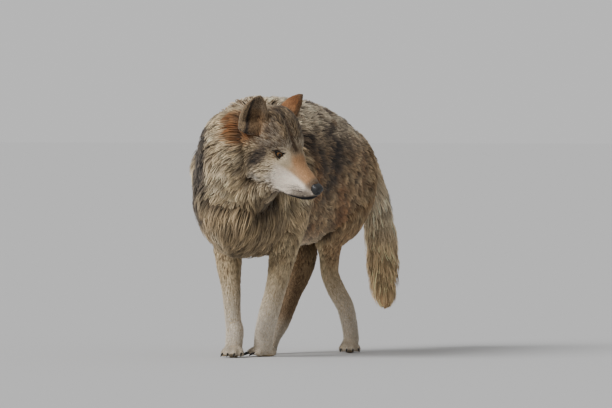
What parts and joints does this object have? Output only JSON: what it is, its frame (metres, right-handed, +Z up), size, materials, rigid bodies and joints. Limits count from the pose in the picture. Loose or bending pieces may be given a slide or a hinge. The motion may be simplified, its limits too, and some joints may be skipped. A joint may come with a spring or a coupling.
{
  "type": "standing timber wolf",
  "caption": "Life-size model of a timber wolf in mid-stride, all four paws on the floor, head turned to its left and lowered, tail hanging.",
  "frame": {"origin": "on the floor under the middle of the wolf's outline box", "axes": "+Z up, the wolf's body faces -Y, its left side is +X"},
  "size_m": [0.5395, 1.1438, 0.7924],
  "materials": {
    "coat": "grizzled grey-brown guard hair",
    "mane": "long pale ruff hair with grey tips",
    "face": "short dense hair",
    "leg": "short pale hair",
    "ear": "short rufous hair",
    "tail": "long bushy hair",
    "nose": "moist pebbled black skin",
    "eye": "glossy, as a glass model eye"
  },
  "bodies": {
    "root": {"trunk": "coat", "neck": "mane", "head": "face", "lower_jaw": "face", "nose": "nose", "ear_left": "ear", "ear_right": "ear", "eye_left": "eye", "eye_right": "eye", "tail": "tail", "foreleg_left": "leg", "foreleg_right": "leg", "hindleg_left": "leg", "hindleg_right": "leg", "forepaw_left": "leg", "forepaw_right": "leg", "hindpaw_left": "leg", "hindpaw_right": "leg"}
  },
  "joints": []
}
